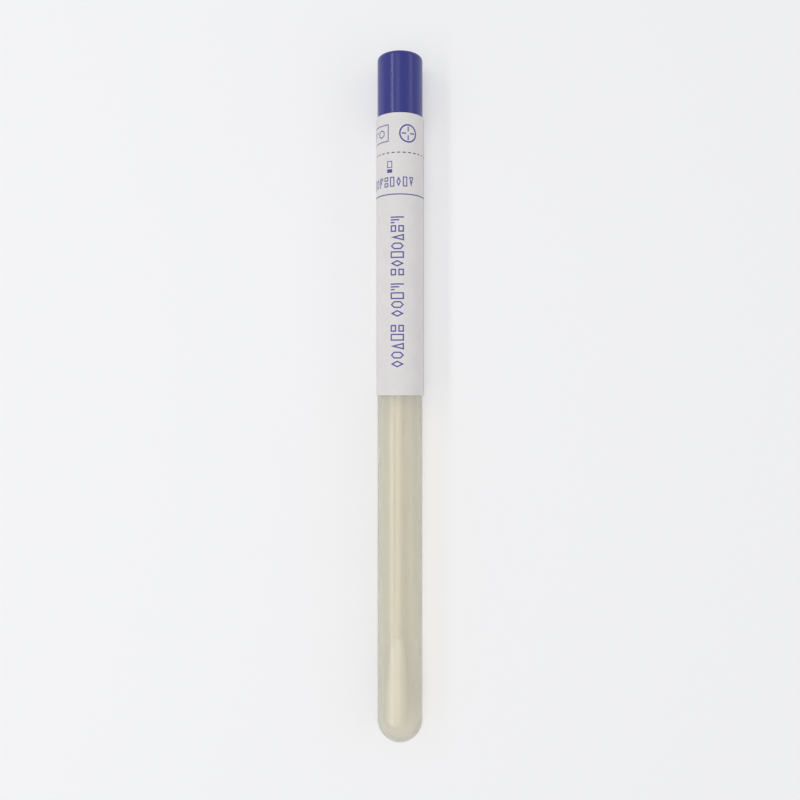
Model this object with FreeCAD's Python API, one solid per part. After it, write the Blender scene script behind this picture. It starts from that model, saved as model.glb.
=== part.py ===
import FreeCAD, Part

import math
import os

from FreeCAD import Placement, Rotation, Vector

# Specimen swab tube: a round-bottomed tube, a plug cap that carries a swab on a stick, and a paper
# label whose top band is perforated at the joint, so that it tears when the cap is pulled.
#
# Every piece is built standing: the tube's axis is Z, its mouth is at Z = 0, the cap is above and the
# print of the label looks towards -Y. The finished pieces are then laid down: the cap points to +Y,
# the print looks up, and the part lies on its label at Z = 0. All sizes are in millimetres.

# --- tube: tapers under its label, and is a straight shank with a round bottom below it ---
TUBE_LENGTH = 150.0            # mouth to the crown of the round bottom
TUBE_MOUTH_DIA = 12.0
TUBE_SHANK_DIA = 11.6
TUBE_WALL = 0.75               # of the shank
MOUTH_CHAMFER = 0.15           # both edges of the mouth
GATE_NUB_DIA = 1.2             # what the moulding gate leaves on the crown
GATE_NUB_HEIGHT = 0.3
GATE_NUB_TAPER = 0.8           # width of its end, against its root's

# --- cap: smooth handle with a skirt flush with the tube, on a sealing plug ---
CAP_LENGTH = 26.0              # shoulder to flat top
HANDLE_DIA = 11.6
SKIRT_HEIGHT = 9.7              # with its chamfer, it ends just under the top edge of the label
CAP_TOP_ROUNDING = 1.0
CAP_TOP_THICKNESS = 1.8
CAP_DIMPLE_DIA = 2.4           # gate dimple in the flat top, a shallow cone
CAP_DIMPLE_DEPTH = 0.3
PLUG_LENGTH = 9.0
PLUG_RELIEF = 0.3              # the plug's body stands back this far from the bore
PLUG_LEAD_IN = 0.7             # chamfer at the plug's end
LIP_FIT = 0.04                 # radial clearance of the sealing lips in the bore
LIP_SPREAD = 1.3               # half width of a lip's foot, in lip heights
LIP_COUNT = 2
LIP_PITCH = 2.8
LIP_TOP_DEPTH = 2.4            # mouth to the middle of the upper lip
CORE_DIA = 8.1                 # one core hollows plug and handle
BOSS_DIA = 4.4                 # middle boss that holds the stick
BOSS_SETBACK = 0.5             # its end, above the end of the plug
RIB_COUNT = 4                  # webs that tie the boss to the handle's wall
RIB_THICKNESS = 0.7
RIB_SETBACK = 3.0              # their end, above the end of the plug
SOCKET_DEPTH = 10.0            # length of stick held in the boss
SOCKET_FIT = 0.02              # radial clearance of the stick in its socket
VENT_DIA = 1.4                 # narrower core above the socket's step
VENT_STOP = 3.0                # solid left between the vent and the flat top

# --- swab: a stick with a wound fibre bud ---
STICK_DIA = 2.5
STICK_TIP_CHAMFER = 0.4
BUD_LENGTH = 23.0
BUD_TOP_DIA = 3.3              # where the winding starts on the stick
BUD_TOP_CHAMFER = 0.15
BUD_DIA = 5.7                  # at its fullest, from its shoulder down to its round nose
BUD_SHOULDER = 13.5            # length over which it swells to that
BUD_COVER = 1.8                # fibre past the end of the stick
BUD_FIT = 0.02                 # radial clearance of the stick in the winding
BUD_GAP = 0.15                 # between the nose and the wall that it leans on
LEAN_ANGLE = 64.0              # way the swab leans: from straight left, this far down towards the floor

# --- label: one sheet, perforated between its seal band and its main field ---
LABEL_THICKNESS = 0.12
LABEL_GLUE = 0.01              # gap between the paper and the tube's mouth
SEAL_BAND_HEIGHT = 10.0        # above the perforation, on the cap
FIELD_HEIGHT = 61.0            # below the perforation, on the tube
OVERLAP_WIDTH = 6.0            # outer end of the sheet, lapped over its inner end
SEAM_ANGLE = 84.0              # edge of that outer end, in degrees to the right of the print's middle
SLIT_COUNT = 27
SLIT_WIDTH = 0.85
SLIT_HEIGHT = 0.4              # half of it in each side of the tear line

UP = Vector(0, 0, 1)


# --- sizes that several pieces share ---
mouth_r = TUBE_MOUTH_DIA / 2
shank_r = TUBE_SHANK_DIA / 2
bore_r = shank_r - TUBE_WALL
dome_z = shank_r - TUBE_LENGTH                     # centre of the round bottom
plug_end_z = -PLUG_LENGTH
boss_end_z = plug_end_z + BOSS_SETBACK
socket_z = boss_end_z + SOCKET_DEPTH               # step that the stick's end stands on
stick_r = STICK_DIA / 2
bud_r = BUD_DIA / 2
label_inner_r = mouth_r + LABEL_GLUE
label_outer_r = label_inner_r + LABEL_THICKNESS


# The stick bends evenly from its socket to one side, until the bud's round nose leans on the wall where
# the round bottom starts. Within the bud it is straight. Stick and bud are built bent towards -X, and
# then turned about the axis to the way that the swab leans.
nose_lean = bore_r - bud_r - BUD_GAP
nose_start = BUD_LENGTH - bud_r
bend_length = boss_end_z - dome_z - nose_start
bend_radius = bend_length * (bend_length / 2 + nose_start) / nose_lean
bend_angle = bend_length / bend_radius


# --- small helpers ---
def at(r, z):
    """A point of a half section: radius from the axis, and height."""
    return Vector(r, 0, z)


def line(start, end):
    return Part.LineSegment(start, end).toShape()


def arc(start, middle, end):
    return Part.Arc(start, middle, end).toShape()


def quarter_round(radius, centre_z, way):
    """Quarter circle about a point of the axis, from the axis out to the full radius: below it (-1) or
    above it (1)."""
    half = radius * math.sqrt(0.5)
    return arc(at(0, centre_z + way * radius), at(half, centre_z + way * half), at(radius, centre_z))


def turn(edges, angle=360):
    """Solid swept by a closed half section about the axis."""
    return Part.Face(Part.Wire(edges)).revolve(Vector(), UP, angle)


def turn_points(points):
    """Solid turned from a half section with straight sides."""
    return turn([line(a, b) for a, b in zip(points, points[1:] + points[:1])])


def rims(shape, z):
    """The shape's circular edges that lie flat at height z."""
    flat = [e for e in shape.Edges if e.BoundBox.ZLength < 1e-6 and abs(e.BoundBox.ZMin - z) < 1e-6]
    return [e for e in flat if isinstance(e.Curve, Part.Circle)]


def ring(inner, outer, low, high):
    """A plain tube wall between two radii and two heights."""
    disc = Part.makeCylinder(outer, high - low, at(0, low))
    return disc.cut(Part.makeCylinder(inner, high - low, at(0, low)))


def spread(shape, count):
    """Copies of a shape, evenly spaced about the axis."""
    copies = []
    for i in range(count):
        copy = shape.copy()
        copy.rotate(Vector(), UP, 360.0 * i / count)
        copies.append(copy)
    return copies


# --- tube ---
def make_tube():
    wall = turn([
        quarter_round(shank_r, dome_z, -1),
        line(at(shank_r, dome_z), at(shank_r, -FIELD_HEIGHT)),
        line(at(shank_r, -FIELD_HEIGHT), at(mouth_r, -MOUTH_CHAMFER)),
        line(at(mouth_r, -MOUTH_CHAMFER), at(mouth_r - MOUTH_CHAMFER, 0)),
        line(at(mouth_r - MOUTH_CHAMFER, 0), at(bore_r + MOUTH_CHAMFER, 0)),
        line(at(bore_r + MOUTH_CHAMFER, 0), at(bore_r, -MOUTH_CHAMFER)),
        line(at(bore_r, -MOUTH_CHAMFER), at(bore_r, dome_z)),
        quarter_round(bore_r, dome_z, -1),
        line(at(0, dome_z - bore_r), at(0, -TUBE_LENGTH)),
    ])
    sunk = TUBE_WALL / 2                             # depth of the nub's root in the crown
    low_end = at(0, -TUBE_LENGTH - GATE_NUB_HEIGHT)
    root_r = GATE_NUB_DIA / 2
    nub = Part.makeCone(GATE_NUB_TAPER * root_r, root_r, GATE_NUB_HEIGHT + sunk, low_end)
    return wall.fuse(nub).removeSplitter()


# --- cap ---
def make_cap():
    plug_r = bore_r - PLUG_RELIEF
    handle_r = HANDLE_DIA / 2
    body = turn_points([
        at(0, plug_end_z),
        at(plug_r - PLUG_LEAD_IN / 2, plug_end_z),
        at(plug_r, plug_end_z + PLUG_LEAD_IN),
        at(plug_r, 0),
        at(mouth_r, 0),
        at(mouth_r, SKIRT_HEIGHT),
        at(handle_r, SKIRT_HEIGHT + mouth_r - handle_r),
        at(handle_r, CAP_LENGTH),
        at(0, CAP_LENGTH),
    ])
    body = body.makeFillet(CAP_TOP_ROUNDING, rims(body, CAP_LENGTH))
    crest_r = bore_r - LIP_FIT
    root_r = plug_r - PLUG_RELIEF
    lips = []
    for i in range(LIP_COUNT):
        middle = -LIP_TOP_DEPTH - i * LIP_PITCH
        foot = LIP_SPREAD * (crest_r - root_r)
        low_foot, high_foot = at(root_r, middle - foot), at(root_r, middle + foot)
        lips.append(turn_points([low_foot, at(crest_r, middle), high_foot]))
    ceiling = CAP_LENGTH - CAP_TOP_THICKNESS
    core = Part.makeCylinder(CORE_DIA / 2, ceiling - plug_end_z, at(0, plug_end_z))
    shell = body.fuse(lips).cut(core)

    boss = Part.makeCylinder(BOSS_DIA / 2, ceiling - boss_end_z, at(0, boss_end_z))
    rib_end_z = plug_end_z + RIB_SETBACK
    rib_corner = Vector(0, -RIB_THICKNESS / 2, rib_end_z)
    rib = Part.makeBox(CORE_DIA / 2, RIB_THICKNESS, ceiling - rib_end_z, rib_corner)
    ribs = [r.common(core) for r in spread(rib, RIB_COUNT)]
    moulding = shell.fuse([boss] + ribs).removeSplitter()

    socket = Part.makeCylinder(stick_r + SOCKET_FIT, SOCKET_DEPTH, at(0, boss_end_z))
    vent = Part.makeCylinder(VENT_DIA / 2, CAP_LENGTH - VENT_STOP - socket_z, at(0, socket_z))
    dimple = Part.makeCone(0, CAP_DIMPLE_DIA / 2, CAP_DIMPLE_DEPTH, at(0, CAP_LENGTH - CAP_DIMPLE_DEPTH))
    return moulding.cut([socket, vent, dimple]).removeSplitter()


# --- swab ---
def bud_place():
    """Place of the bud: its top end where the stick's bend stops, its axis along the stick from there."""
    swing = at(math.cos(bend_angle) - 1, -math.sin(bend_angle))
    heading = at(-math.sin(bend_angle), -math.cos(bend_angle))
    return Placement(at(0, boss_end_z) + swing * bend_radius, Rotation(UP, heading))


def lean(shape):
    """Turn a swab piece about the tube's axis, to the way that the swab leans."""
    shape.rotate(Vector(), UP, -LEAN_ANGLE)
    return shape


def make_stick():
    held = Part.makeCylinder(stick_r, SOCKET_DEPTH, at(0, boss_end_z))
    section = Part.Face(Part.Wire(Part.makeCircle(stick_r, at(0, boss_end_z))))
    bent = section.revolve(at(-bend_radius, boss_end_z), Vector(0, 1, 0), math.degrees(bend_angle))
    tip = Part.makeCylinder(stick_r, BUD_LENGTH - BUD_COVER)
    tip = tip.makeChamfer(STICK_TIP_CHAMFER, rims(tip, BUD_LENGTH - BUD_COVER))
    tip.Placement = bud_place()
    return lean(held.fuse([bent, tip]).removeSplitter())


def make_bud():
    top_r = BUD_TOP_DIA / 2
    points = [
        at(0, 0),
        at(top_r - BUD_TOP_CHAMFER, 0),
        at(top_r, BUD_TOP_CHAMFER),
        at(bud_r, BUD_SHOULDER),
        at(bud_r, nose_start),
    ]
    section = [line(a, b) for a, b in zip(points, points[1:])]
    section.append(quarter_round(bud_r, nose_start, 1))
    section.append(line(at(0, BUD_LENGTH), at(0, 0)))
    winding = turn(section).cut(Part.makeCylinder(stick_r + BUD_FIT, BUD_LENGTH - BUD_COVER))
    winding.Placement = bud_place()
    return lean(winding)


# --- label ---
def make_label(low, high):
    """One part of the sheet: wound round once, with its outer end lapped over its inner end and its half
    of the perforation's slits cut through it at Z = 0."""
    lap_angle = math.degrees(OVERLAP_WIDTH / label_outer_r)
    lap_section = [
        at(label_outer_r - LABEL_THICKNESS / 2, low),
        at(label_outer_r + LABEL_THICKNESS, low),
        at(label_outer_r + LABEL_THICKNESS, high),
        at(label_outer_r - LABEL_THICKNESS / 2, high),
    ]
    lap = turn([line(a, b) for a, b in zip(lap_section, lap_section[1:] + lap_section[:1])], lap_angle)
    lap.rotate(Vector(), UP, SEAM_ANGLE - 90)
    sheet = ring(label_inner_r, label_outer_r, low, high).fuse(lap)
    slit_corner = Vector(0, -SLIT_WIDTH / 2, -SLIT_HEIGHT / 2)
    slit = Part.makeBox(2 * label_outer_r, SLIT_WIDTH, SLIT_HEIGHT, slit_corner)
    return sheet.cut(spread(slit, SLIT_COUNT)).removeSplitter()


# --- laying down and saving ---
def lay_down(shape):
    """Lay a standing piece on its side: the cap to +Y, the print up, and the middle of the part's
    footprint at the origin."""
    low_end = -TUBE_LENGTH - GATE_NUB_HEIGHT
    middle = (CAP_LENGTH + low_end) / 2
    laid = shape.copy()
    laid.rotate(Vector(), Vector(1, 0, 0), -90)
    laid.translate(Vector(0, -middle, label_outer_r))
    return laid


PIECES = {
    "tube": make_tube(),
    "cap": make_cap(),
    "stick": make_stick(),
    "bud": make_bud(),
    "seal_band": make_label(0, SEAL_BAND_HEIGHT),
    "tube_label": make_label(-FIELD_HEIGHT, 0),
}

os.makedirs("parts", exist_ok=True)
for name, shape in PIECES.items():
    laid = lay_down(shape)
    laid.exportStep(f"parts/{name}.step")
    box = laid.BoundBox
    print(
        f"{name}: {len(laid.Solids)} solid, valid {laid.isValid()}, {laid.Volume:.1f} mm3, "
        f"X {box.XMin:.2f}..{box.XMax:.2f}, Y {box.YMin:.2f}..{box.YMax:.2f}, "
        f"Z {box.ZMin:.2f}..{box.ZMax:.2f}"
    )
print(f"stick bends on a radius of {bend_radius:.0f} mm, through {math.degrees(bend_angle):.2f} degrees")
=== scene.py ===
# %% [markdown]
# # A swab tube, dressed for its picture
# The part is a milky round-bottomed tube with a blue plug cap. The cap carries a stick with a wound
# fibre bud, and a paper label is wrapped round the joint of cap and tube. A CAD program has already
# made its solids and its joint, and this script gives it smooth surfaces, print and real materials.
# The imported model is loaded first, because every piece below takes its place from it.

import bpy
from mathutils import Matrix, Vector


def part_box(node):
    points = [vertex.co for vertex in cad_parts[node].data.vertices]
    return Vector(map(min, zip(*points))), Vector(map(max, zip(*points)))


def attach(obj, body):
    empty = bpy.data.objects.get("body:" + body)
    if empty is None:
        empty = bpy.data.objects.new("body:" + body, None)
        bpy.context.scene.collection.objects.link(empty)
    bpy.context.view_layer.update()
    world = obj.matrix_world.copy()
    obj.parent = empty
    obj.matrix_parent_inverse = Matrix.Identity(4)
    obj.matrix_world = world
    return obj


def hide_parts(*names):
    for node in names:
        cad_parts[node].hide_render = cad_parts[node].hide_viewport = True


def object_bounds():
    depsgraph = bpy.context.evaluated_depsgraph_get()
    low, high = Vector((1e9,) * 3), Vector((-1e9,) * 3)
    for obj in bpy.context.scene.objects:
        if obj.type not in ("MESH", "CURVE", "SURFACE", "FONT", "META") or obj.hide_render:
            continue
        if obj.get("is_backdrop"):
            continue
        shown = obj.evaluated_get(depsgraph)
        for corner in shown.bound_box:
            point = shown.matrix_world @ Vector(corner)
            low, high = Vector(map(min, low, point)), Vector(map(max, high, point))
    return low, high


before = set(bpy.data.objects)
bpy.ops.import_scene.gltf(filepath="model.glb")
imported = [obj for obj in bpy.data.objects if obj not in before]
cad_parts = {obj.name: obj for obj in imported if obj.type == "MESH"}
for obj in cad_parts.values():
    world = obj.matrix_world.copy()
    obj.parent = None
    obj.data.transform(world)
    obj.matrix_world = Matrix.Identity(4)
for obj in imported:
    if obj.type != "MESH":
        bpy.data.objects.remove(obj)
cad_low, cad_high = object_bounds()

# %% [markdown]
# The script uses Blender's mesh tools, its vector types and plain Python. Random numbers come from
# generators with fixed seeds, so that every run gives the same part.

# %% Import the tools
import math
import random

import bmesh
import bpy
from mathutils import Matrix, Vector, noise

# %% [markdown]
# The tube lies on its side: its axis runs along Y, the cap points to +Y and the print looks up. It
# is simpler to make each piece standing, in millimetres, with the tube's mouth at height zero and the
# print towards -Y. One matrix then lays a finished piece down and turns millimetres into metres. Its
# two offsets are read from the box of the CAD tube, so nothing has to be fitted by eye.

# %% Find the tube's axis and mouth
MM = 0.001
tube_low, tube_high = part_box("tube")
AXIS_HEIGHT = (tube_low.z + tube_high.z) / 2
MOUTH_Y = tube_high.y
MOUTH_R = (tube_high.z - tube_low.z) / 2 / MM
LAY_DOWN = (
    Matrix.Translation((0, MOUTH_Y, AXIS_HEIGHT))
    @ Matrix.Rotation(math.radians(-90), 4, "X")
    @ Matrix.Scale(MM, 4)
)
print(f"axis {AXIS_HEIGHT / MM:.2f} mm over the floor, mouth {MOUTH_R:.2f} mm in radius")

# %% [markdown]
# Sizes that more than one cell needs are given here, in millimetres: the tube's straight shank and
# bore, the heights of the label's two parts above and below the mouth, the stick with the socket that
# holds it, and the bud. The others are named where the piece is made.

# %% Name the shared sizes
TUBE_LENGTH = 150.0
SHANK_R = 5.8
BORE_R = 5.05
WALL = SHANK_R - BORE_R
BAND_HEIGHT = 10.0
FIELD_HEIGHT = 61.0
STICK_R = 1.25
STICK_FIT = 0.02
BUD_R = 2.85
BUD_LENGTH = 23.0
BUD_COVER = 1.8
BOSS_END = -8.5
SOCKET_STEP = 1.5
print(f"wall of the tube: {WALL:.2f} mm")

# %% [markdown]
# ## The picture's set
# A small part like this is looked at from close by, so its two ends are seen a little from outside and
# the label's edges curve apart. An orthographic camera would lose that. This one hangs straight over
# the middle of the part, at that short distance, with a lens that lets the part fill most of the frame.
# It is made before the pieces, because the framing depends only on the CAD box.

# %% Hang the camera over the part
VIEW_DISTANCE = 0.215
camera_data = bpy.data.cameras.new("camera")
camera_data.lens = 37.5
camera_data.sensor_width = 36.0
camera_data.clip_start = 0.01
camera = bpy.data.objects.new("camera", camera_data)
camera.location = (0, (cad_low.y + cad_high.y) / 2, AXIS_HEIGHT + VIEW_DISTANCE)
bpy.context.scene.collection.objects.link(camera)
bpy.context.scene.camera = camera
bpy.context.scene.view_settings.view_transform = "Standard"
print("camera at", [round(c, 3) for c in camera.location])

# %% [markdown]
# The floor is one wide flat sheet under everything. A curved backdrop is usual behind a small part, but
# from above it wouldn't show, and a level floor looks the same from every side.

# %% Lay the floor
FLOOR_HALF_WIDTH = 6
floor_bm = bmesh.new()
bmesh.ops.create_grid(floor_bm, x_segments=1, y_segments=1, size=FLOOR_HALF_WIDTH)
floor_mesh = bpy.data.meshes.new("floor")
floor_bm.to_mesh(floor_mesh)
floor_bm.free()
floor = bpy.data.objects.new("floor", floor_mesh)
bpy.context.scene.collection.objects.link(floor)
floor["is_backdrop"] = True
print("floor:", len(floor_mesh.polygons), "face")

# %% [markdown]
# Its paint is plain and pale. The lamps light only its middle well, and stronger ones would bleach the
# part, so the camera sees the floor's own shading with some even white mixed in. That keeps the part's
# shadow. The part itself is lit by the plain floor, because only rays from the camera take the mix.

# %% Paint the floor
EVEN_SHARE = 0.45
floor_paint = bpy.data.materials.new("floor paint")
floor_paint.use_nodes = True
floor_tree = floor_paint.node_tree
floor_shader = floor_tree.nodes["Principled BSDF"]
floor_shader.inputs["Base Color"].default_value = (0.95, 0.95, 0.955, 1)
floor_shader.inputs["Roughness"].default_value = 0.9
floor_shader.inputs["Specular IOR Level"].default_value = 0.1
even_white = floor_tree.nodes.new("ShaderNodeEmission")
even_white.inputs["Color"].default_value = (0.93, 0.93, 0.935, 1)
floor_rays = floor_tree.nodes.new("ShaderNodeLightPath")
camera_share = floor_tree.nodes.new("ShaderNodeMath")
camera_share.operation = "MULTIPLY"
camera_share.inputs[1].default_value = EVEN_SHARE
floor_mix = floor_tree.nodes.new("ShaderNodeMixShader")
floor_tree.links.new(floor_rays.outputs["Is Camera Ray"], camera_share.inputs[0])
floor_tree.links.new(camera_share.outputs[0], floor_mix.inputs[0])
floor_tree.links.new(floor_shader.outputs[0], floor_mix.inputs[1])
floor_tree.links.new(even_white.outputs[0], floor_mix.inputs[2])
floor_tree.links.new(floor_mix.outputs[0], floor_tree.nodes["Material Output"].inputs["Surface"])
floor_mesh.materials.append(floor_paint)
print("floor paint:", len(floor_tree.nodes), "nodes")

# %% [markdown]
# Round shiny things show their lamps as stripes. Point lamps would leave hard glints and a sharp shadow,
# while softboxes that are long in the tube's direction give the straight, even stripes of a daylight
# window. A narrow one left of the tube draws the bright stripe on the cap, a wide one over it fills the
# front, and a weak one on the right keeps that side from going dark.

# %% Hang the softboxes
def softbox(name, place, width, length, power):
    """An area lamp at place, aimed at the part. Its length runs along Y."""
    data = bpy.data.lights.new(name, "AREA")
    data.shape = "RECTANGLE"
    data.size, data.size_y = length, width
    data.energy = power
    lamp = bpy.data.objects.new(name, data)
    lamp.location = place
    aim = Vector(place) - Vector((0, 0, AXIS_HEIGHT))
    lamp.rotation_euler = aim.to_track_quat("Z", "Y").to_euler()
    bpy.context.scene.collection.objects.link(lamp)


softbox("window", (-0.34, 0.0, 0.40), 0.06, 0.80, 0.75)
softbox("overhead", (-0.12, 0.0, 0.60), 0.20, 0.80, 0.70)
softbox("fill", (0.45, 0.0, 0.30), 0.16, 0.80, 0.40)

# %% [markdown]
# The room adds the rest of the light from all round, as more lamps would each leave a stripe of their
# own. Its light is dim, but where it is looked at, or is seen in the plastic's gloss or through it, it
# is a pale grey. The grey is that of the far floor, so floor and room run into each other with no hard
# horizon.

# %% Light the room
world = bpy.data.worlds.new("room")
world.use_nodes = True
room_tree = world.node_tree
room_light = room_tree.nodes["Background"]
room_light.inputs["Color"].default_value = (0.96, 0.97, 1.0, 1)
room_light.inputs["Strength"].default_value = 0.55
room_white = room_tree.nodes.new("ShaderNodeBackground")
room_white.inputs["Color"].default_value = (0.698, 0.701, 0.713, 1)
room_rays = room_tree.nodes.new("ShaderNodeLightPath")
looked_at = room_rays.outputs["Is Camera Ray"]
for kind in ("Is Glossy Ray", "Is Transmission Ray"):
    either = room_tree.nodes.new("ShaderNodeMath")
    either.operation = "MAXIMUM"
    room_tree.links.new(looked_at, either.inputs[0])
    room_tree.links.new(room_rays.outputs[kind], either.inputs[1])
    looked_at = either.outputs[0]
room_mix = room_tree.nodes.new("ShaderNodeMixShader")
room_tree.links.new(looked_at, room_mix.inputs[0])
room_tree.links.new(room_light.outputs[0], room_mix.inputs[1])
room_tree.links.new(room_white.outputs[0], room_mix.inputs[2])
room_tree.links.new(room_mix.outputs[0], room_tree.nodes["World Output"].inputs["Surface"])
bpy.context.scene.world = world
print("room:", len(room_tree.nodes), "nodes")

# %% [markdown]
# ## Effects that several finishes share
# Each effect below is a node group: a small network with named inputs and outputs that can be put in
# any material with its own values. The nodes could be copied into each material, but then a change
# would have to be made in all of them. The groups put out a colour, a roughness and a height. The first
# helper makes an empty group, and the second adds a texture that reads Object coordinates, which stay
# with the piece when it moves.

# %% Helpers that start a node group
SURFACE_OUTPUTS = [
    ("Colour", "NodeSocketColor"), ("Roughness", "NodeSocketFloat"), ("Height", "NodeSocketFloat"),
]


def effect_group(name, inputs):
    """An empty shader group with its sockets. Returns the group, its input and its output node."""
    group = bpy.data.node_groups.new(name, "ShaderNodeTree")
    for socket, kind, value in inputs:
        made = group.interface.new_socket(socket, in_out="INPUT", socket_type=kind)
        made.default_value = value
    for socket, kind in SURFACE_OUTPUTS:
        group.interface.new_socket(socket, in_out="OUTPUT", socket_type=kind)
    return group, group.nodes.new("NodeGroupInput"), group.nodes.new("NodeGroupOutput")


def noise_over(tree, stretch, scale, detail=3.0, roughness=0.55):
    """A noise texture on stretched Object coordinates. Returns its value socket."""
    place = tree.nodes.new("ShaderNodeTexCoord")
    mapping = tree.nodes.new("ShaderNodeMapping")
    mapping.inputs["Scale"].default_value = stretch
    texture = tree.nodes.new("ShaderNodeTexNoise")
    texture.inputs["Scale"].default_value = scale
    texture.inputs["Detail"].default_value = detail
    texture.inputs["Roughness"].default_value = roughness
    tree.links.new(place.outputs["Object"], mapping.inputs["Vector"])
    tree.links.new(mapping.outputs["Vector"], texture.inputs["Vector"])
    return texture.outputs["Fac"]


print("every group puts out", [socket for socket, _ in SURFACE_OUTPUTS])

# %% [markdown]
# Inside a group, values are added or multiplied, and two colours are mixed by a value. Each of these
# two helpers adds one such node. A Mix node has a set of sockets for every kind of value, some with the
# same name, so those for colours are found by their numbers.

# %% Helpers for sums and mixes
MIX_FIRST, MIX_SECOND, MIX_RESULT = 6, 7, 2


def math_node(tree, operation, first, second):
    """One Math node, each of whose inputs is a socket or a number. Returns its output."""
    node = tree.nodes.new("ShaderNodeMath")
    node.operation = operation
    for slot, value in zip(node.inputs, (first, second)):
        if isinstance(value, (int, float)):
            slot.default_value = value
        else:
            tree.links.new(value, slot)
    return node.outputs[0]


def colour_mix(tree, amount, first, second):
    """Mix two colour sockets by an amount socket. Returns the mixed colour."""
    node = tree.nodes.new("ShaderNodeMix")
    node.data_type = "RGBA"
    tree.links.new(amount, node.inputs["Factor"])
    tree.links.new(first, node.inputs[MIX_FIRST])
    tree.links.new(second, node.inputs[MIX_SECOND])
    return node.outputs[MIX_RESULT]


print("group helpers ready")

# %% [markdown]
# Moulded plastic isn't perfectly even, and one flat gloss would look like paint. The melt leaves faint
# streaks in the direction in which it flowed, handling leaves soft patches that are less shiny, and the
# polished mould leaves a very fine orange peel. One group gives all three, and the cap, the tube and the
# stick each use their own values.

# %% Moulded skin
moulded_skin, skin_in, skin_out = effect_group(
    "moulded skin",
    [
        ("Colour", "NodeSocketColor", (0.5, 0.5, 0.5, 1)),
        ("Streak colour", "NodeSocketColor", (0.6, 0.6, 0.6, 1)),
        ("Gloss", "NodeSocketFloat", 0.3),
        ("Gloss change", "NodeSocketFloat", 0.1),
    ],
)
streaks = noise_over(moulded_skin, (1.0, 0.06, 1.0), 420.0, 4.0)
patches = noise_over(moulded_skin, (1.0, 0.35, 1.0), 190.0, 3.0)
peel = noise_over(moulded_skin, (1.0, 1.0, 1.0), 2600.0, 2.0)
skin_tones = skin_in.outputs["Colour"], skin_in.outputs["Streak colour"]
skin_colour = colour_mix(moulded_skin, streaks, *skin_tones)
moulded_skin.links.new(skin_colour, skin_out.inputs["Colour"])
gloss_shift = math_node(moulded_skin, "MULTIPLY", patches, skin_in.outputs["Gloss change"])
skin_gloss = math_node(moulded_skin, "ADD", gloss_shift, skin_in.outputs["Gloss"])
moulded_skin.links.new(skin_gloss, skin_out.inputs["Roughness"])
skin_height = math_node(moulded_skin, "ADD", peel, streaks)
moulded_skin.links.new(skin_height, skin_out.inputs["Height"])
print("moulded skin:", len(moulded_skin.nodes), "nodes")

# %% [markdown]
# Label paper is a mat of fibres under a thin coating. A flat white would look like one more plastic, but
# close up paper has a cloudy tone, short fibres that run mostly one way, and a low relief.

# %% Paper fibre
PAPER_GLOSS, PAPER_GLOSS_CHANGE = 0.42, 0.16
paper_fibre, paper_in, paper_out = effect_group(
    "paper fibre",
    [
        ("Colour", "NodeSocketColor", (0.8, 0.8, 0.8, 1)),
        ("Fibre colour", "NodeSocketColor", (0.7, 0.7, 0.7, 1)),
    ],
)
fibres = noise_over(paper_fibre, (1.0, 0.35, 1.0), 3800.0, 4.0, 0.7)
clouds = noise_over(paper_fibre, (1.0, 1.0, 1.0), 260.0, 3.0)
paper_tone = math_node(paper_fibre, "MULTIPLY", fibres, clouds)
paper_tones = paper_in.outputs["Colour"], paper_in.outputs["Fibre colour"]
paper_colour = colour_mix(paper_fibre, paper_tone, *paper_tones)
paper_fibre.links.new(paper_colour, paper_out.inputs["Colour"])
cloud_shift = math_node(paper_fibre, "MULTIPLY", clouds, PAPER_GLOSS_CHANGE)
paper_gloss = math_node(paper_fibre, "ADD", cloud_shift, PAPER_GLOSS)
paper_fibre.links.new(paper_gloss, paper_out.inputs["Roughness"])
paper_fibre.links.new(fibres, paper_out.inputs["Height"])
print("paper fibre:", len(paper_fibre.nodes), "nodes")

# %% [markdown]
# ## The finishes
# A finish is one Principled shader fed by a group. The helper makes the material, places the group,
# links its colour and roughness, and turns its height into a bump. The relief is that bump's height in
# metres.

# %% Helper for finishes
def finish(name, group, values, relief, shader_values):
    """A material whose colour, roughness and bump come from an effect group."""
    material = bpy.data.materials.new(name)
    material.use_nodes = True
    tree = material.node_tree
    shader = tree.nodes["Principled BSDF"]
    effect = tree.nodes.new("ShaderNodeGroup")
    effect.node_tree = group
    for socket, value in values.items():
        effect.inputs[socket].default_value = value
    bump = tree.nodes.new("ShaderNodeBump")
    bump.inputs["Strength"].default_value = 1.0
    bump.inputs["Distance"].default_value = relief
    tree.links.new(effect.outputs["Colour"], shader.inputs["Base Color"])
    tree.links.new(effect.outputs["Roughness"], shader.inputs["Roughness"])
    tree.links.new(effect.outputs["Height"], bump.inputs["Height"])
    tree.links.new(bump.outputs["Normal"], shader.inputs["Normal"])
    for socket, value in shader_values.items():
        shader.inputs[socket].default_value = value
    return material


print("finish helper ready")

# %% [markdown]
# The cap is solid blue polyethylene: a deep colour with a satin shine. The stick is cream polystyrene,
# a shade yellower along its streaks. Both let a little light in, which softens their shadows, but a
# thin subsurface layer adds noise and would hardly show, so their colours carry it.

# %% Cap and stick plastics
cap_plastic = finish(
    "blue polyethylene",
    moulded_skin,
    {
        "Colour": (0.017, 0.022, 0.19, 1),
        "Streak colour": (0.030, 0.036, 0.26, 1),
        "Gloss": 0.16,
        "Gloss change": 0.12,
    },
    relief=0.000004,
    shader_values={"IOR": 1.51, "Specular IOR Level": 0.5},
)
stick_plastic = finish(
    "cream polystyrene",
    moulded_skin,
    {
        "Colour": (0.72, 0.665, 0.55, 1),
        "Streak colour": (0.63, 0.57, 0.45, 1),
        "Gloss": 0.26,
        "Gloss change": 0.12,
    },
    relief=0.000003,
    shader_values={"IOR": 1.59, "Specular IOR Level": 0.5},
)
print("plastics:", cap_plastic.name, "and", stick_plastic.name)

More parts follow.
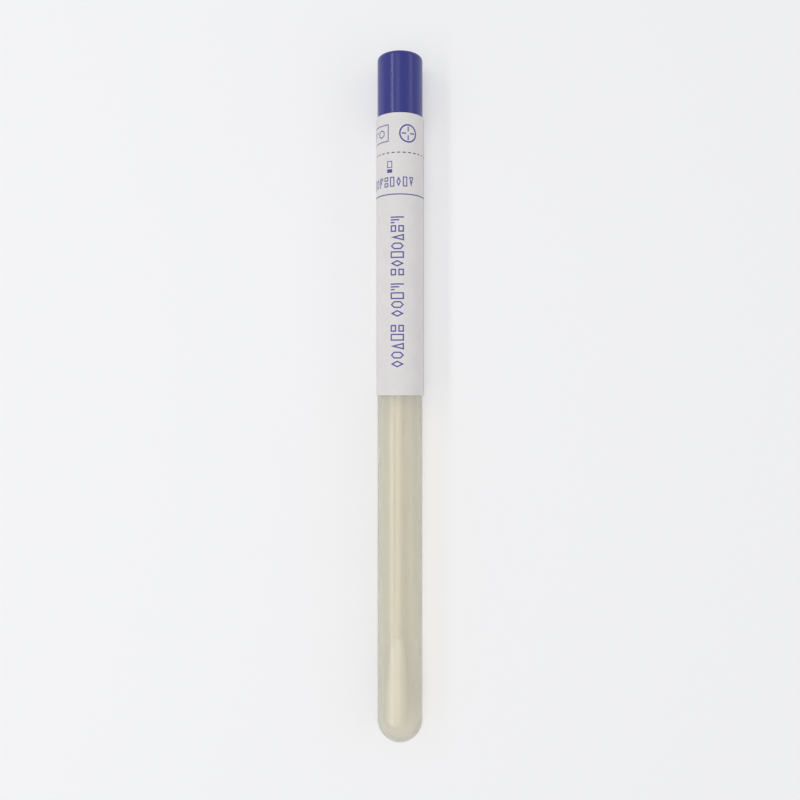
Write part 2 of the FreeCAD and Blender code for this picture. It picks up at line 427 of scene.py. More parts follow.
# %% [markdown]
# Natural polypropylene is milky: some light goes through, scattered, and some comes back from the
# plastic itself. A volume that scatters would be nearest to that, but it is slow and leaves grain.
# Transmission with a rough surface gives the blurred look through the wall, and the rest of the shader
# stays a pale beige body. Lamps are seen through such a wall only by chance, which leaves the inside
# dark and grainy, so for shadow rays alone the wall is a clear, slightly tinted film.

# %% Tube plastic
tube_plastic = finish(
    "milky polypropylene",
    moulded_skin,
    {
        "Colour": (0.91, 0.89, 0.812, 1),
        "Streak colour": (0.87, 0.845, 0.757, 1),
        "Gloss": 0.22,
        "Gloss change": 0.05,
    },
    relief=0.0000015,
    shader_values={"IOR": 1.42, "Transmission Weight": 0.74},
)
tube_tree = tube_plastic.node_tree
through = tube_tree.nodes.new("ShaderNodeBsdfTransparent")
through.inputs["Color"].default_value = (0.88, 0.86, 0.78, 1)
rays = tube_tree.nodes.new("ShaderNodeLightPath")
lamps_pass = tube_tree.nodes.new("ShaderNodeMixShader")
tube_tree.links.new(rays.outputs["Is Shadow Ray"], lamps_pass.inputs[0])
tube_tree.links.new(tube_tree.nodes["Principled BSDF"].outputs[0], lamps_pass.inputs[1])
tube_tree.links.new(through.outputs[0], lamps_pass.inputs[2])
tube_tree.links.new(lamps_pass.outputs[0], tube_tree.nodes["Material Output"].inputs["Surface"])
print("tube plastic:", len(tube_tree.nodes), "nodes")

# %% [markdown]
# The label is white paper with a warm cast. Its print is an indigo ink, which sinks into the fibres
# and so is a little uneven. Both use the paper group with their own colours.

# %% Paper and ink
label_paper = finish(
    "label paper",
    paper_fibre,
    {"Colour": (0.82, 0.80, 0.78, 1), "Fibre colour": (0.66, 0.635, 0.62, 1)},
    relief=0.000006,
    shader_values={"Specular IOR Level": 0.35},
)
label_ink = finish(
    "indigo ink",
    paper_fibre,
    {"Colour": (0.070, 0.058, 0.30, 1), "Fibre colour": (0.17, 0.15, 0.43, 1)},
    relief=0.000006,
    shader_values={"Specular IOR Level": 0.3},
)
print("label finishes:", label_paper.name, "and", label_ink.name)

# %% [markdown]
# ## Turned pieces
# Tube, cap and bud are round about an axis. Each could be a cylinder that is scaled ring by ring, but
# half an outline keeps all its radii and heights in one list. Only the corners are written, and a corner
# that the moulding rounds also says by how much and in how many segments. A vertex bevel makes the
# roundings, and a full spin with merging closes the shape. A rounding that takes up a whole side stops
# a hair short of it, so that no two points fall together.

# %% Helper for turned pieces
HAIR = 1e-5
MERGE_DISTANCE = 1e-4


def turned(bm, corners, steps=96):
    """Spin half an outline about Z. A corner is its radius and height, and for a rounded one also
    the rounding's size and segments."""
    points = [bm.verts.new((corner[0], 0, corner[1])) for corner in corners]
    for pair in zip(points, points[1:]):
        bm.edges.new(pair)
    for point, (_, _, *rounding) in zip(points, corners):
        if rounding:
            size, segments = rounding
            bmesh.ops.bevel(
                bm, geom=[point], offset=size, offset_type="OFFSET", affect="VERTICES",
                segments=segments, profile=0.5, material=-1,
            )
    outline = [v for v in bm.verts if v.link_edges and not v.link_faces]
    outline += [e for e in bm.edges if not e.link_faces]
    bmesh.ops.spin(
        bm, geom=outline, cent=(0, 0, 0), axis=(0, 0, 1), angle=math.tau, steps=steps,
        use_merge=True,
    )
    bmesh.ops.remove_doubles(bm, verts=bm.verts, dist=MERGE_DISTANCE)
    bmesh.ops.recalc_face_normals(bm, faces=bm.faces)


print("outlines stop", HAIR, "mm short of a whole side")

# %% [markdown]
# Every piece is handed over in the same way. It is laid down and gets its finish, and the edges that
# bend more than a set angle are marked as sharp, so that broad faces stay smooth. Then it is told which
# body it rides on, and the CAD piece that it stands for is hidden.

# %% Helper that hands a piece over
def finished(bm, name, material, body, slot, *stands_for, sharp=35):
    """Lay a standing piece down, and hand it over as an object that rides on a body."""
    bm.transform(LAY_DOWN)
    mesh = bpy.data.meshes.new(name)
    bm.to_mesh(mesh)
    bm.free()
    mesh.shade_smooth()
    mesh.set_sharp_from_angle(angle=math.radians(sharp))
    mesh.materials.append(material)
    piece = bpy.data.objects.new(name, mesh)
    bpy.context.scene.collection.objects.link(piece)
    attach(piece, body)
    if stands_for:
        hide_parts(*stands_for)
    print(f"{name}: {len(mesh.polygons)} faces, {[round(d / MM, 2) for d in piece.dimensions]} mm")
    return piece


print("hand-over helper ready")

# %% [markdown]
# The tube is a straight shank that widens a little under the label, up to a mouth with both edges
# broken. Its round bottom could be half a ball that is joined on, but the joint would show in the gloss.
# So it is one corner of the outline, rounded by the tube's own radius, outside and inside. The gate
# where the plastic came in left a small nub on the crown, which is sunk into the wall.

# %% Tube
MOUTH_BREAK = 0.2
tube_bm = bmesh.new()
turned(tube_bm, [
    (0, -TUBE_LENGTH), (SHANK_R, -TUBE_LENGTH, SHANK_R - HAIR, 20), (SHANK_R, -FIELD_HEIGHT),
    (MOUTH_R, -MOUTH_BREAK), (MOUTH_R - MOUTH_BREAK, 0), (BORE_R + MOUTH_BREAK, 0),
    (BORE_R, -MOUTH_BREAK), (BORE_R, WALL - TUBE_LENGTH, BORE_R - HAIR, 18), (0, WALL - TUBE_LENGTH),
])
NUB_HEIGHT, NUB_END_R, NUB_ROOT_R = 0.3, 0.5, 0.6
nub_end, nub_root = -TUBE_LENGTH - NUB_HEIGHT, -TUBE_LENGTH + NUB_HEIGHT
nub_corners = [(0, nub_end), (NUB_END_R, nub_end, 0.12, 4), (NUB_ROOT_R, nub_root), (0, nub_root)]
turned(tube_bm, nub_corners, steps=32)
tube = finished(tube_bm, "milky_tube", tube_plastic, "tube_body", "clear_polypropylene", "tube")

# %% [markdown]
# At the mouth one looks into the wall end-on. There the plastic is so deep that the light comes back
# before it gets through, so the rim looks pale and solid. A shader doesn't know how deep the plastic is,
# so the rim's faces take a second finish, which is the same plastic with no transmission.

# %% Pale rim of the mouth
rim_plastic = finish(
    "polypropylene rim",
    moulded_skin,
    {
        "Colour": (0.72, 0.70, 0.63, 1),
        "Streak colour": (0.67, 0.65, 0.57, 1),
        "Gloss": 0.30,
        "Gloss change": 0.05,
    },
    relief=0.0000015,
    shader_values={"IOR": 1.42},
)
tube.data.materials.append(rim_plastic)
RIM_DEPTH = (MOUTH_BREAK + 0.01) * MM
rim_faces = [face for face in tube.data.polygons if face.center.y > MOUTH_Y - RIM_DEPTH]
for face in rim_faces:
    face.material_index = 1
print("rim:", len(rim_faces), "faces")

# %% [markdown]
# The cap is one moulding. Outside it is a smooth handle with a rounded flat top and a shallow gate
# dimple, and a skirt that sits flush with the tube. Below the mouth is the plug, with two sealing lips
# that press on the bore. A core hollows it from below, and in its middle stands the boss that holds the
# stick in a stepped socket. Plug, skirt and handle could be rings that are joined, but a moulding has
# one skin, so the whole section, in and out, is one outline.

# %% Sizes of the cap
CAP_TOP = 26.0
DIMPLE_R, DIMPLE_DEPTH = 1.2, 0.3
SKIRT_TOP, SHOULDER = 9.7, 0.2
PLUG_R, PLUG_END = 4.75, -9.0
LEAD_IN, LEAD_IN_HEIGHT = 0.35, 0.7
LIP_R, LIP_FOOT = 5.01, 0.34
LIP_HEIGHTS = (-2.4, -5.2)
CORE_R, CORE_TOP = 4.05, 24.2
BOSS_R = 2.2
SOCKET_R = STICK_R + STICK_FIT
VENT_R, VENT_TOP = 0.7, 23.0
print("cap stands", CAP_TOP, "mm over the mouth, and its plug reaches to", PLUG_END)

# %% Cap
section = [
    (0, CAP_TOP - DIMPLE_DEPTH), (DIMPLE_R, CAP_TOP, 0.2, 3), (SHANK_R, CAP_TOP, 1.0, 10),
    (SHANK_R, SKIRT_TOP + SHOULDER, 0.1, 3), (MOUTH_R, SKIRT_TOP, 0.1, 3), (MOUTH_R, 0), (PLUG_R, 0),
]
for height in LIP_HEIGHTS:
    section += [(PLUG_R, height + LIP_FOOT), (LIP_R, height, 0.12, 4), (PLUG_R, height - LIP_FOOT)]
section += [
    (PLUG_R, PLUG_END + LEAD_IN_HEIGHT, 0.2, 4), (PLUG_R - LEAD_IN, PLUG_END), (CORE_R, PLUG_END),
    (CORE_R, CORE_TOP, 0.4, 4), (BOSS_R, CORE_TOP), (BOSS_R, BOSS_END), (SOCKET_R, BOSS_END),
    (SOCKET_R, SOCKET_STEP), (VENT_R, SOCKET_STEP), (VENT_R, VENT_TOP), (0, VENT_TOP),
]
cap_bm = bmesh.new()
turned(cap_bm, section)
print("cap section turned:", len(cap_bm.faces), "faces")

# %% [markdown]
# Four ribs tie the boss to the handle's wall, so that the cap can be gripped hard without the stick
# working loose. A boolean would join them cleanly but leave ragged faces on the round walls, so each is
# a thin block whose two long edges and upper end sink into the cap.

# %% Ribs inside the cap
RIB_COUNT = 4
RIB_THICKNESS = 0.7
RIB_INNER, RIB_OUTER = 2.07, 4.17
RIB_LOW, RIB_HIGH = -6.0, 24.3
middle = Matrix.Translation(((RIB_INNER + RIB_OUTER) / 2, 0, (RIB_LOW + RIB_HIGH) / 2))
size = Matrix.Diagonal((RIB_OUTER - RIB_INNER, RIB_THICKNESS, RIB_HIGH - RIB_LOW, 1))
for number in range(RIB_COUNT):
    turn = Matrix.Rotation(number * math.tau / RIB_COUNT, 4, "Z")
    bmesh.ops.create_cube(cap_bm, size=1.0, matrix=turn @ middle @ size)
finished(cap_bm, "blue_cap", cap_plastic, "swab_cap", "blue_polyethylene", "cap")

# %% [markdown]
# ## The swab
# The stick is a little too long for a straight line to the round bottom, so it bends evenly until the
# bud leans on the wall. The box of the CAD bud tells where its round nose is, and with it the way that
# the swab leans and how strongly it bends.

# %% Read the lean from the CAD bud
bud_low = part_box("bud")[0]
nose = bud_low / MM + Vector((BUD_R, BUD_R, BUD_R))
lean_x, lean_z = nose.x, nose.z - AXIS_HEIGHT / MM
NOSE_LEAN = math.hypot(lean_x, lean_z)
LEAN_ANGLE = math.atan2(-lean_z, -lean_x)
BUD_STRAIGHT = BUD_LENGTH - BUD_R
BEND_LENGTH = BOSS_END - (SHANK_R - TUBE_LENGTH) - BUD_STRAIGHT
BEND_R = BEND_LENGTH * (BEND_LENGTH / 2 + BUD_STRAIGHT) / NOSE_LEAN
BEND_ANGLE = BEND_LENGTH / BEND_R
print(f"leans {NOSE_LEAN:.2f} mm, {math.degrees(LEAN_ANGLE):.0f} degrees down from the left")
print(f"radius of the bend: {BEND_R:.0f} mm")

# %% [markdown]
# A bud's own frame starts where the bend ends, with Z along the stick. The matrix takes a piece made
# there to its place in the standing tube, and turns it the way that the swab leans.

# %% Place of the bud
bend_end = Vector((BEND_R * (math.cos(BEND_ANGLE) - 1), 0, BOSS_END - BEND_R * math.sin(BEND_ANGLE)))
lean_turn = Matrix.Rotation(-LEAN_ANGLE, 4, "Z")
BUD_PLACE = (
    lean_turn @ Matrix.Translation(bend_end) @ Matrix.Rotation(math.pi + BEND_ANGLE, 4, "Y")
)
print("bud starts at", [round(c, 2) for c in BUD_PLACE.translation])

# %% [markdown]
# The stick could be a curve with a round bevel, but the end of a mesh is easier to narrow and close. It
# is a circle led along its line: a straight run in the socket, a spin about a far centre for the slow
# bend, and a last straight run that narrows at its end, inside the bud.

# %% Stick
STICK_SIDES, BEND_STEPS = 40, 40
TIP_LENGTH, TIP_SHARE = 0.4, 0.7
stick_bm = bmesh.new()
rim = bmesh.ops.create_circle(
    stick_bm, cap_ends=False, radius=STICK_R, segments=STICK_SIDES,
    matrix=Matrix.Translation((0, 0, SOCKET_STEP)),
)["verts"]
first_rim = list(rim)


def led_on(verts, **spin):
    """Extrude a ring of verts along a spin, and return the ring at its end."""
    edges = [e for e in stick_bm.edges if e.verts[0] in verts and e.verts[1] in verts]
    made = bmesh.ops.spin(stick_bm, geom=edges, use_merge=False, **spin)["geom_last"]
    return [g for g in made if isinstance(g, bmesh.types.BMVert)]


held = SOCKET_STEP - BOSS_END
along = Vector((-math.sin(BEND_ANGLE), 0, -math.cos(BEND_ANGLE)))
straight = {"cent": (0, 0, 0), "axis": (0, 0, 1), "angle": 0, "steps": 1}
rim = led_on(set(rim), dvec=(0, 0, -held), **straight)
bend = {"cent": (-BEND_R, 0, BOSS_END), "axis": (0, 1, 0), "angle": BEND_ANGLE, "steps": BEND_STEPS}
rim = led_on(set(rim), **bend)
rim = led_on(set(rim), dvec=along * (BUD_LENGTH - BUD_COVER - TIP_LENGTH), **straight)
rim = led_on(set(rim), dvec=along * TIP_LENGTH, **straight)
centre = sum((v.co for v in rim), Vector()) / len(rim)
bmesh.ops.scale(stick_bm, vec=[TIP_SHARE] * 3, space=Matrix.Translation(-centre), verts=rim)
for ring in (first_rim, rim):
    bmesh.ops.contextual_create(stick_bm, geom=ring)
bmesh.ops.recalc_face_normals(stick_bm, faces=stick_bm.faces)
stick_bm.transform(lean_turn)
finished(stick_bm, "swab_stick", stick_plastic, "swab_cap", "cream_polystyrene", "stick")

# %% [markdown]
# The bud is yarn-thin fibre wound on the stick's end in a slow spiral. It swells from the stick to its
# full width, runs straight and ends in a round nose, with a blind hole for the stick. Strands of hair
# would be truer, but so many would make the part too heavy. The bud is turned first, with many rings for
# the windings to come.

# %% Smooth bud
SWELL = 13.5
WINDING_R = 1.65
WINDING_BREAK = 0.15
SWELL_RINGS, STRAIGHT_RINGS = 90, 42
HOLE_R, HOLE_END = STICK_R + STICK_FIT, BUD_LENGTH - BUD_COVER


def skin_radius(height):
    """Radius of the smooth bud at a height from its start."""
    if height > BUD_STRAIGHT:
        return math.sqrt(BUD_R ** 2 - (height - BUD_STRAIGHT) ** 2)
    share = (height - WINDING_BREAK) / (SWELL - WINDING_BREAK)
    return min(WINDING_R + (BUD_R - WINDING_R) * share, BUD_R)


outline = [(0, HOLE_END), (HOLE_R, HOLE_END), (HOLE_R, 0)]
outline += [(WINDING_R - WINDING_BREAK, 0), (WINDING_R, WINDING_BREAK)]
for ring in range(1, SWELL_RINGS + 1):
    height = WINDING_BREAK + (SWELL - WINDING_BREAK) * ring / SWELL_RINGS
    outline.append((skin_radius(height), height))
for ring in range(1, STRAIGHT_RINGS + 1):
    outline.append((BUD_R, SWELL + (BUD_STRAIGHT - SWELL) * ring / STRAIGHT_RINGS))
outline += [(BUD_R, BUD_LENGTH, BUD_R - HAIR, 26), (0, BUD_LENGTH)]
bud_bm = bmesh.new()
turned(bud_bm, outline, steps=120)
print("bud turned:", len(bud_bm.faces), "faces")

# %% [markdown]
# The spiral's valleys follow the angle round the axis and the height. Two of them cross at a small
# angle, as the fibre is laid to and fro, and a fine random felt lies over both. A Displace modifier
# would need a texture for them, while a sine says the same in one line. Each point of the skin is only
# ever drawn in, so the bud never grows past its CAD solid. The hole and the middle of the nose stay as
# they are.

# %% Draw in the windings
TO_PITCH, TO_DEPTH = 0.62, 0.035
FRO_PITCH, FRO_DEPTH, FRO_START = 0.83, 0.025, 1.3
FELT_SCALE, FELT_DEPTH = 2.4, 0.05
FELT_FALL, FELT_STEP, FELT_LAYERS = 0.8, 2.2, 4
DEEPEST = 0.12
CLEAR = 0.1
POLE_R = 0.3


def winding_depth(point):
    """How far a point of the bud's skin is drawn in, in mm."""
    angle = math.atan2(point.y, point.x)
    to = 0.5 + 0.5 * math.sin(angle + point.z * math.tau / TO_PITCH)
    fro = 0.5 + 0.5 * math.sin(-angle + point.z * math.tau / FRO_PITCH + FRO_START)
    felt = 0.5 + 0.5 * noise.fractal(point * FELT_SCALE, FELT_FALL, FELT_STEP, FELT_LAYERS)
    return min(TO_DEPTH * to + FRO_DEPTH * fro + FELT_DEPTH * felt, DEEPEST)


for vert in bud_bm.verts:
    reach = math.hypot(vert.co.x, vert.co.y)
    in_hole = reach < STICK_R + CLEAR and vert.co.z < HOLE_END + CLEAR
    if reach < POLE_R or in_hole:
        continue
    outward = Vector((vert.co.x, vert.co.y, max(vert.co.z - BUD_STRAIGHT, 0)))
    vert.co -= outward.normalized() * winding_depth(vert.co)
print("windings drawn in, at most", DEEPEST, "mm")

# %% [markdown]
# Loose ends of fibre lie along the windings and arch a little off them. Hair curves would draw them, but
# a thin mesh can be made part of the bud. One three-sided thread is the pattern for all: a prism of
# radius 1 and length 2, cut across seven times, with its two ends drawn in.

# %% One loose fibre
THREAD_CUTS, THREAD_TIP = 7, 0.3
thread_bm = bmesh.new()
bmesh.ops.create_cone(thread_bm, cap_ends=True, segments=3, radius1=1, radius2=1, depth=2)
long_edges = [e for e in thread_bm.edges if abs(e.verts[0].co.z - e.verts[1].co.z) > 1]
bmesh.ops.subdivide_edges(thread_bm, edges=long_edges, cuts=THREAD_CUTS)
tips = [v for v in thread_bm.verts if abs(v.co.z) > 0.9]
bmesh.ops.scale(thread_bm, vec=(THREAD_TIP, THREAD_TIP, 1.0), verts=tips)
thread_mesh = bpy.data.meshes.new("thread")
thread_bm.to_mesh(thread_mesh)
thread_bm.free()
print("thread:", len(thread_mesh.polygons), "faces")

# %% [markdown]
# Each fibre takes a copy of the thread and leads it over the bud's skin. The thread's length becomes a
# way round and a climb, and its two other directions become the way off the skin and the way along it.
# All of them are gathered in a mesh of their own, where the newest copy is always last, and then join
# the bud.

# %% Loose fibres on the bud
FIBRE_COUNT = 700
THREAD_R = 0.010
SUNK, ARCH = 0.085, 0.06
LOWEST, HIGHEST = 1.2, BUD_LENGTH - 2.0
SWEEPS = (0.25, 0.80)
CLIMB = 0.22
fibre_random = random.Random(11)
loose_bm = bmesh.new()
for _ in range(FIBRE_COUNT):
    angle = fibre_random.uniform(0, math.tau)
    height = fibre_random.uniform(LOWEST, HIGHEST)
    sweep = fibre_random.choice((-1, 1)) * fibre_random.uniform(*SWEEPS)
    climb = fibre_random.uniform(-CLIMB, CLIMB)
    first = len(loose_bm.verts)
    loose_bm.from_mesh(thread_mesh)
    loose_bm.verts.ensure_lookup_table()
    for vert in loose_bm.verts[first:]:
        off, aside, share = vert.co.x * THREAD_R, vert.co.y * THREAD_R, vert.co.z
        level = height + climb * share + aside
        reach = skin_radius(level) - SUNK + ARCH * (1 - share * share) + off
        turn = angle + sweep * share
        vert.co = (reach * math.cos(turn), reach * math.sin(turn), level)
loose_bm.to_mesh(thread_mesh)
loose_bm.free()
bud_bm.from_mesh(thread_mesh)
print("fibres added:", len(bud_bm.faces), "faces in the bud")

# %% [markdown]
# The fibre's finish is matt with a soft sheen along its edges, off-white and cloudy. It is a finish of
# its own, as nothing else on the part is woolly.

# %% Finish the bud
fibre = finish(
    "wound fibre",
    paper_fibre,
    {"Colour": (0.83, 0.80, 0.745, 1), "Fibre colour": (0.70, 0.665, 0.60, 1)},
    relief=0.00002,
    shader_values={"Specular IOR Level": 0.2, "Sheen Weight": 0.5, "Sheen Roughness": 0.4},
)
bmesh.ops.recalc_face_normals(bud_bm, faces=bud_bm.faces)
bud_bm.transform(BUD_PLACE)
bud = finished(bud_bm, "fibre_bud", fibre, "swab_cap", "swab_fibre", "bud", sharp=60)

# %% [markdown]
# ## The label
# The label is one sheet, wound once round the joint of cap and tube. Its outer end laps over its inner
# end on the right side. A line of slits runs round it at the tube's mouth, where it tears when the cap
# is pulled, so its upper band belongs to the cap and its main field to the tube.
#
# A sleeve that is spun would be quicker to make, but it would have no ends that lap. A real label is cut
# flat and then wound on, and so is this one. In the flat sheet x is the way round from the top line, y
# the height over the mouth and z the height over the glue. The bending helper also lifts the outer end
# over the inner one, with a thin layer of glue between them, and lets it down again on a short ramp.

# %% Helpers that wrap flat things round the tube
PAPER = 0.10
GLUE, LAP_GLUE = 0.01, 0.015
LABEL_INNER_R = MOUTH_R + GLUE
WRAP_R = LABEL_INNER_R + PAPER
LAP_WIDTH = 6.0
RAMP = math.radians(16)
FREE_EDGE = math.radians(84)
INNER_EDGE = FREE_EDGE + LAP_WIDTH / WRAP_R
OUTER_EDGE = FREE_EDGE - math.tau


def lap_lift(angle):
    """Rise of the sheet where it lies over its own inner end, in mm."""
    past = (angle - (INNER_EDGE - math.tau)) / RAMP
    return (PAPER + LAP_GLUE) * (1 - min(max(past, 0), 1))


def thicken(bm, height):
    """Give a flat drawing its thickness."""
    extruded = bmesh.ops.extrude_face_region(bm, geom=bm.faces[:])["geom"]
    raised = [item for item in extruded if isinstance(item, bmesh.types.BMVert)]
    bmesh.ops.translate(bm, vec=(0, 0, height), verts=raised)
    bmesh.ops.recalc_face_normals(bm, faces=bm.faces)


def wrap(bm):
    """Bend flat geometry round the standing tube."""
    for vert in bm.verts:
        angle = vert.co.x / WRAP_R
        reach = LABEL_INNER_R + vert.co.z + lap_lift(angle)
        vert.co = (reach * math.sin(angle), -reach * math.cos(angle), vert.co.y)


print(f"sheet is {(INNER_EDGE - OUTER_EDGE) * WRAP_R:.1f} mm long, wrapped at {WRAP_R:.2f} mm")

# %% [markdown]
# A dashed line of ink could stand for the slits, but real ones are open, and each part of the label
# keeps its half of them when it tears. The flat sheet starts as one face. Cuts across it make columns
# for the slits and for the paper between them, which also let it bend. One cut beside the tear line
# marks off the depth of the slits, and the faces in the slits' columns are taken out there. The
# extrusion then gives the paper its thickness.

# %% Helper that makes a sheet with half a row of slits
SLIT_COUNT = 27
SLIT_WIDTH = 0.85
SLIT_DEPTH = 0.13
SLIT_TURN = math.tau / SLIT_COUNT


def cut_sheet(bm, place, along):
    """Bisect everything in the flat sheet with one plane."""
    everything = bm.verts[:] + bm.edges[:] + bm.faces[:]
    bmesh.ops.bisect_plane(bm, geom=everything, plane_co=place, plane_no=along)


def in_slit(x):
    """Whether a way round falls in a slit. The middle of one slit is on the right side."""
    steps = (x / WRAP_R - math.pi / 2) / SLIT_TURN
    return abs(steps - round(steps)) * SLIT_TURN * WRAP_R < SLIT_WIDTH / 2


def slit_sheet(low, high):
    """Paper between two heights, wrapped round. One height is 0, the tear line, and has half slits."""
    bm = bmesh.new()
    start, end = OUTER_EDGE * WRAP_R, INNER_EDGE * WRAP_R
    place = Matrix.Translation(((start + end) / 2, (low + high) / 2, 0))
    place @= Matrix.Diagonal((end - start, high - low, 1, 1))
    bmesh.ops.create_grid(bm, x_segments=1, y_segments=1, size=0.5, matrix=place)
    slit_end = SLIT_DEPTH if high > 0 else -SLIT_DEPTH
    cut_sheet(bm, (0, slit_end, 0), (0, 1, 0))
    first = math.floor((OUTER_EDGE - math.pi / 2) / SLIT_TURN) - 1
    last = math.ceil((INNER_EDGE - math.pi / 2) / SLIT_TURN) + 1
    for number in range(first, last + 1):
        centre = (math.pi / 2 + number * SLIT_TURN) * WRAP_R
        for side in (-SLIT_WIDTH / 2, 0, SLIT_WIDTH / 2, SLIT_TURN * WRAP_R / 2):
            cut_sheet(bm, (centre + side, 0, 0), (1, 0, 0))
    holes = []
    for face in bm.faces:
        middle = face.calc_center_median()
        if abs(middle.y) < SLIT_DEPTH and in_slit(middle.x):
            holes.append(face)
    bmesh.ops.delete(bm, geom=holes, context="FACES")
    thicken(bm, PAPER)
    wrap(bm)
    return bm


print(SLIT_COUNT, "slits in one turn, each", SLIT_WIDTH, "mm long")

# %% Seal band and main field of the label
band_bm = slit_sheet(0, BAND_HEIGHT)
finished(band_bm, "band_sheet", label_paper, "swab_cap", "label_paper", "seal_band")
field_bm = slit_sheet(-FIELD_HEIGHT, 0)
finished(field_bm, "field_sheet", label_paper, "tube_body", "label_paper", "tube_label")

# %% [markdown]
# ## The print
# The print is a thin layer of ink. It has no letters: rows of plain figures, bars and frames stand where
# such a label has its words. A mask in the paper's material could paint them, but a layer of its own has
# sharp edges from any distance. All of it is drawn flat as single faces, and is then cut into narrow
# columns, given its thickness and wrapped like the sheet. A place in the print is its left, right, top
# and bottom in mm: left and right count from the middle of the print, and top and bottom from the
# label's upper edge.

# %% Helpers that draw flat print
INK, INK_SUNK = 0.014, 0.002
INK_HEIGHT = PAPER - INK_SUNK
PRINT_MIDDLE = -0.45


def flat_place(left, right, top, bottom):
    """Matrix that takes a square of side 1 to a place in the flat print."""
    centre = (PRINT_MIDDLE + (left + right) / 2, BAND_HEIGHT - (top + bottom) / 2, INK_HEIGHT)
    return Matrix.Translation(centre) @ Matrix.Diagonal((right - left, bottom - top, 1, 1))


def plate(bm, left, right, top, bottom):
    """One solid face of ink, such as a rule or a bar."""
    place = flat_place(left, right, top, bottom)
    bmesh.ops.create_grid(bm, x_segments=1, y_segments=1, size=0.5, matrix=place)


def outlined(bm, left, right, top, bottom, line, corners, turn=0.0):
    """An open figure that fills its place, with a line of even width: its face is inset by that
    width, and the face inside goes. Four corners and an eighth of a turn give a frame."""
    turned_round = Matrix.Rotation(turn, 4, "Z")
    shape = bmesh.ops.create_circle(
        bm, cap_ends=True, segments=corners, radius=1, matrix=turned_round,
    )["verts"]
    ways, heights = [v.co.x for v in shape], [v.co.y for v in shape]
    for vert in shape:
        vert.co.x = (vert.co.x - min(ways)) / (max(ways) - min(ways)) - 0.5
        vert.co.y = (vert.co.y - min(heights)) / (max(heights) - min(heights)) - 0.5
    bmesh.ops.transform(bm, matrix=flat_place(left, right, top, bottom), verts=shape)
    face = shape[0].link_faces[0]
    bmesh.ops.inset_individual(bm, faces=[face], thickness=line, use_even_offset=True)
    bmesh.ops.delete(bm, geom=[face], context="FACES_ONLY")


print("print is drawn", INK_HEIGHT, "mm over the glue")

# %% [markdown]
# The drawing is cut into narrow columns, so that it follows the tube's curve, and then extruded to its
# thickness. The cuts start a hair off zero, so that none of them falls on the edge of a figure.

# %% Helper that puts a drawing on the label
COLUMN, COLUMN_START = 0.6, 0.013


def print_on(bm, name, body):
    """Cut the flat print into columns, thicken it, wrap it, and hand it over."""
    ways = [v.co.x for v in bm.verts]
    for number in range(int(min(ways) / COLUMN) - 1, int(max(ways) / COLUMN) + 2):
        cut_sheet(bm, (number * COLUMN + COLUMN_START, 0, 0), (1, 0, 0))
    thicken(bm, INK)
    wrap(bm)
    finished(bm, name, label_ink, body, "label_paper")


print("print is cut into columns of", COLUMN, "mm")

# %% [markdown]
# A row of figures stands for a line of words. Each cell of a row gets a frame, a split frame, a hexagon,
# a diamond, a triangle or three bars that grow shorter. All have the same line, so that the row has an
# even tone. Each figure is a list of parts. A part is either an outline, with its number of corners and
# its turn, or a bar, and it says which share of the cell it fills across and down.

# %% Kinds of figure
FRAME, DIAMOND = (4, math.tau / 8), (4, 0.0)
HEXAGON, TRIANGLE = (6, math.tau / 4), (3, math.tau / 4)
BAR = None
FIGURES = {
    "frame": [(FRAME, 0, 1, 0, 1)],
    "split frame": [(FRAME, 0, 0.42, 0, 1), (FRAME, 0.58, 1, 0, 1)],
    "hexagon": [(HEXAGON, 0, 1, 0, 1)],
    "diamond": [(DIAMOND, 0, 1, 0, 1)],
    "triangle": [(TRIANGLE, 0, 1, 0, 1)],
    "falling bars": [(BAR, 0, 1, 0, 0), (BAR, 0, 0.65, 0.5, 0.5), (BAR, 0, 0.3, 1, 1)],
}
print("kinds of figure:", sorted(FIGURES))

# %% [markdown]
# The first helper turns a share of a cell into a place, and the second draws one figure there. In a
# cell that is taller than it is wide the figure is turned on its side. The other two helpers fill a
# whole run or row, with even gaps between the cells.

# %% Helpers for rows of figures
def ends_of_share(low, high, near, far, line):
    """Both ends of one share of a cell's side. A share with no size gets the line's width."""
    if near == far:
        first = low + (high - low - line) * near
        return first, first + line
    return low + (high - low) * near, low + (high - low) * far


def figure(bm, left, right, top, bottom, line, kind):
    """One plain figure that fills a cell. Its long side runs along the cell's longer side."""
    wide = right - left > bottom - top
    for shape, start, end, upper, lower in FIGURES[kind]:
        across, down = ((start, end), (upper, lower)) if wide else ((upper, lower), (start, end))
        ways = ends_of_share(left, right, *across, line)
        heights = ends_of_share(top, bottom, *down, line)
        if shape is BAR:
            plate(bm, *ways, *heights)
        else:
            corners, turn = shape
            outlined(bm, *ways, *heights, line, corners, turn + (0 if wide else math.tau / 4))


def figures_down(bm, left, right, top, bottom, count, gap, line, seed):
    """A run of figures down the tube. The seed picks which of them follow each other."""
    order = random.Random(seed)
    names = sorted(FIGURES)
    kinds = order.sample(names, len(names)) + order.sample(names, len(names))
    pitch = (bottom - top + gap) / count
    for cell, kind in enumerate(kinds[:count]):
        start = top + pitch * cell
        figure(bm, left, right, start, start + pitch - gap, line, kind)


def figures_across(bm, left, right, top, bottom, count, gap, line, kinds):
    """A row of figures round the tube, in the order that the kinds are given."""
    pitch = (right - left + gap) / count
    for cell in range(count):
        start = left + pitch * cell
        figure(bm, start, start + pitch - gap, top, bottom, line, kinds[cell % len(kinds)])


print("row helpers ready")

# %% [markdown]
# The band carries a ring with four short spokes, and an outlined box of two cells with figures in it.

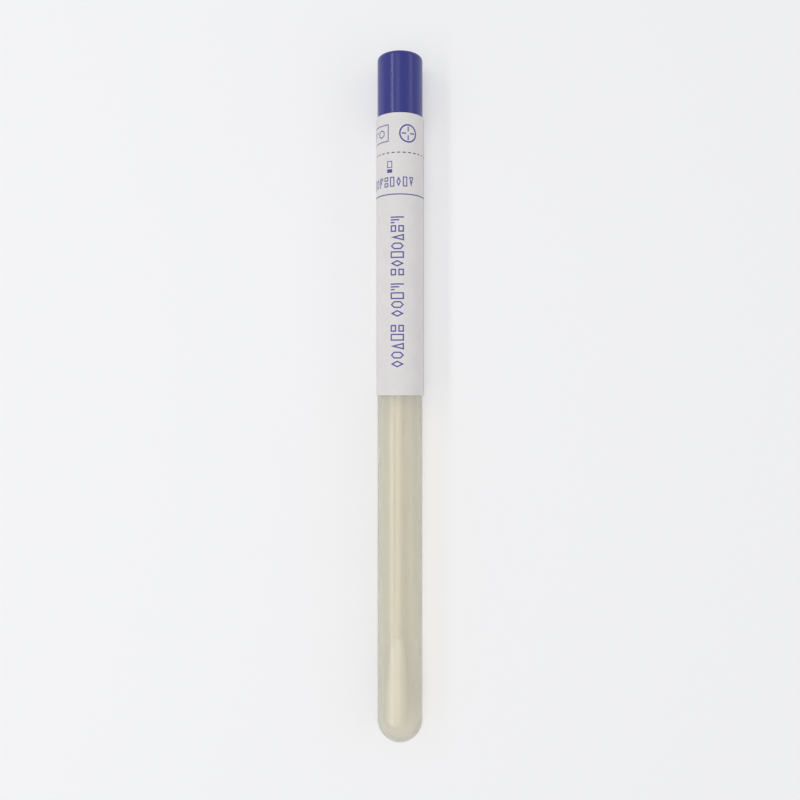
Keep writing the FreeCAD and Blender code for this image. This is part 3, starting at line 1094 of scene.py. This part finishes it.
# %% Print of the seal band
RING = (0.22, 4.86, 2.88, 7.52)
SPOKES = (
    (2.39, 2.69, 3.5, 4.7), (2.39, 2.69, 5.7, 6.9),
    (0.84, 2.04, 5.05, 5.35), (3.04, 4.24, 5.05, 5.35),
)
band_ink = bmesh.new()
outlined(band_ink, *RING, line=0.37, corners=56)
for spoke in SPOKES:
    plate(band_ink, *spoke)
for left, right in ((-24.9, -9.9), (-9.68, -2.54)):
    outlined(band_ink, left, right, 2.8, 7.15, 0.22, *FRAME)
figures_across(band_ink, -23.6, -11.2, 3.9, 6.05, 7, 0.5, 0.24, ("frame", "falling bars", "hexagon"))
figures_across(band_ink, -8.4, -3.8, 3.9, 6.05, 2, 0.7, 0.24, ("falling bars", "hexagon"))
print_on(band_ink, "band_print", "swab_cap")

# %% [markdown]
# The field has a small sign under the tear line, a row of figures across, and a thin line all round.
# Below that line three columns run down the tube: one of large figures in three groups, and two of small
# ones with long rules to write on.

# %% Signs and rows across the main field
field_ink = bmesh.new()
outlined(field_ink, -2.95, -1.55, 12.1, 13.8, 0.2, *FRAME)
plate(field_ink, -2.95, -1.55, 14.15, 15.05)
ROW = ("frame", "hexagon", "falling bars", "split frame", "frame", "diamond", "frame", "triangle")
figures_across(field_ink, -8.7, 3.95, 16.1, 18.6, 8, 0.5, 0.26, ROW)
outlined(field_ink, -23.0, -18.7, 13.0, 15.1, 0.2, *FRAME)
figures_across(field_ink, -28.2, -14.8, 16.2, 18.9, 8, 0.5, 0.26, ROW[3:] + ROW[:3])
rule_start = OUTER_EDGE * WRAP_R - PRINT_MIDDLE + 0.05
rule_end = FREE_EDGE * WRAP_R - PRINT_MIDDLE - 0.05
plate(field_ink, rule_start, rule_end, 20.35, 20.62)
print("rows drawn:", len(field_ink.faces), "faces")

# %% Columns down the main field
for top, bottom, count, seed in ((26.1, 40.9, 7, 3), (42.9, 51.3, 4, 8), (53.3, 64.0, 5, 5)):
    figures_down(field_ink, -1.95, 1.45, top, bottom, count, 0.5, 0.33, seed)
small = ((-20.0, 22.1, 26.8, 4, 21), (-20.0, 45.5, 50.5, 4, 22), (-11.3, 22.0, 29.2, 6, 23))
for left, top, bottom, count, seed in small:
    figures_down(field_ink, left, left + 1.9, top, bottom, count, 0.32, 0.2, seed)
for left, top, bottom in ((-20.0, 27.1, 44.6), (-20.0, 50.8, 68.2), (-11.3, 29.5, 68.0)):
    plate(field_ink, left, left + 0.2, top, bottom)
print_on(field_ink, "field_print", "tube_body")

# %% [markdown]
# ## Size of the dressed part
# The dressed part is meant to be no larger than its solids, so both boxes are compared, and how far it
# grows past them on each side is printed.

# %% Compare the sizes
dressed_low, dressed_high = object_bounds()
growth = [*(cad_low - dressed_low), *(dressed_high - cad_high)]
print("grows by (mm):", [round(v / MM, 3) for v in growth])
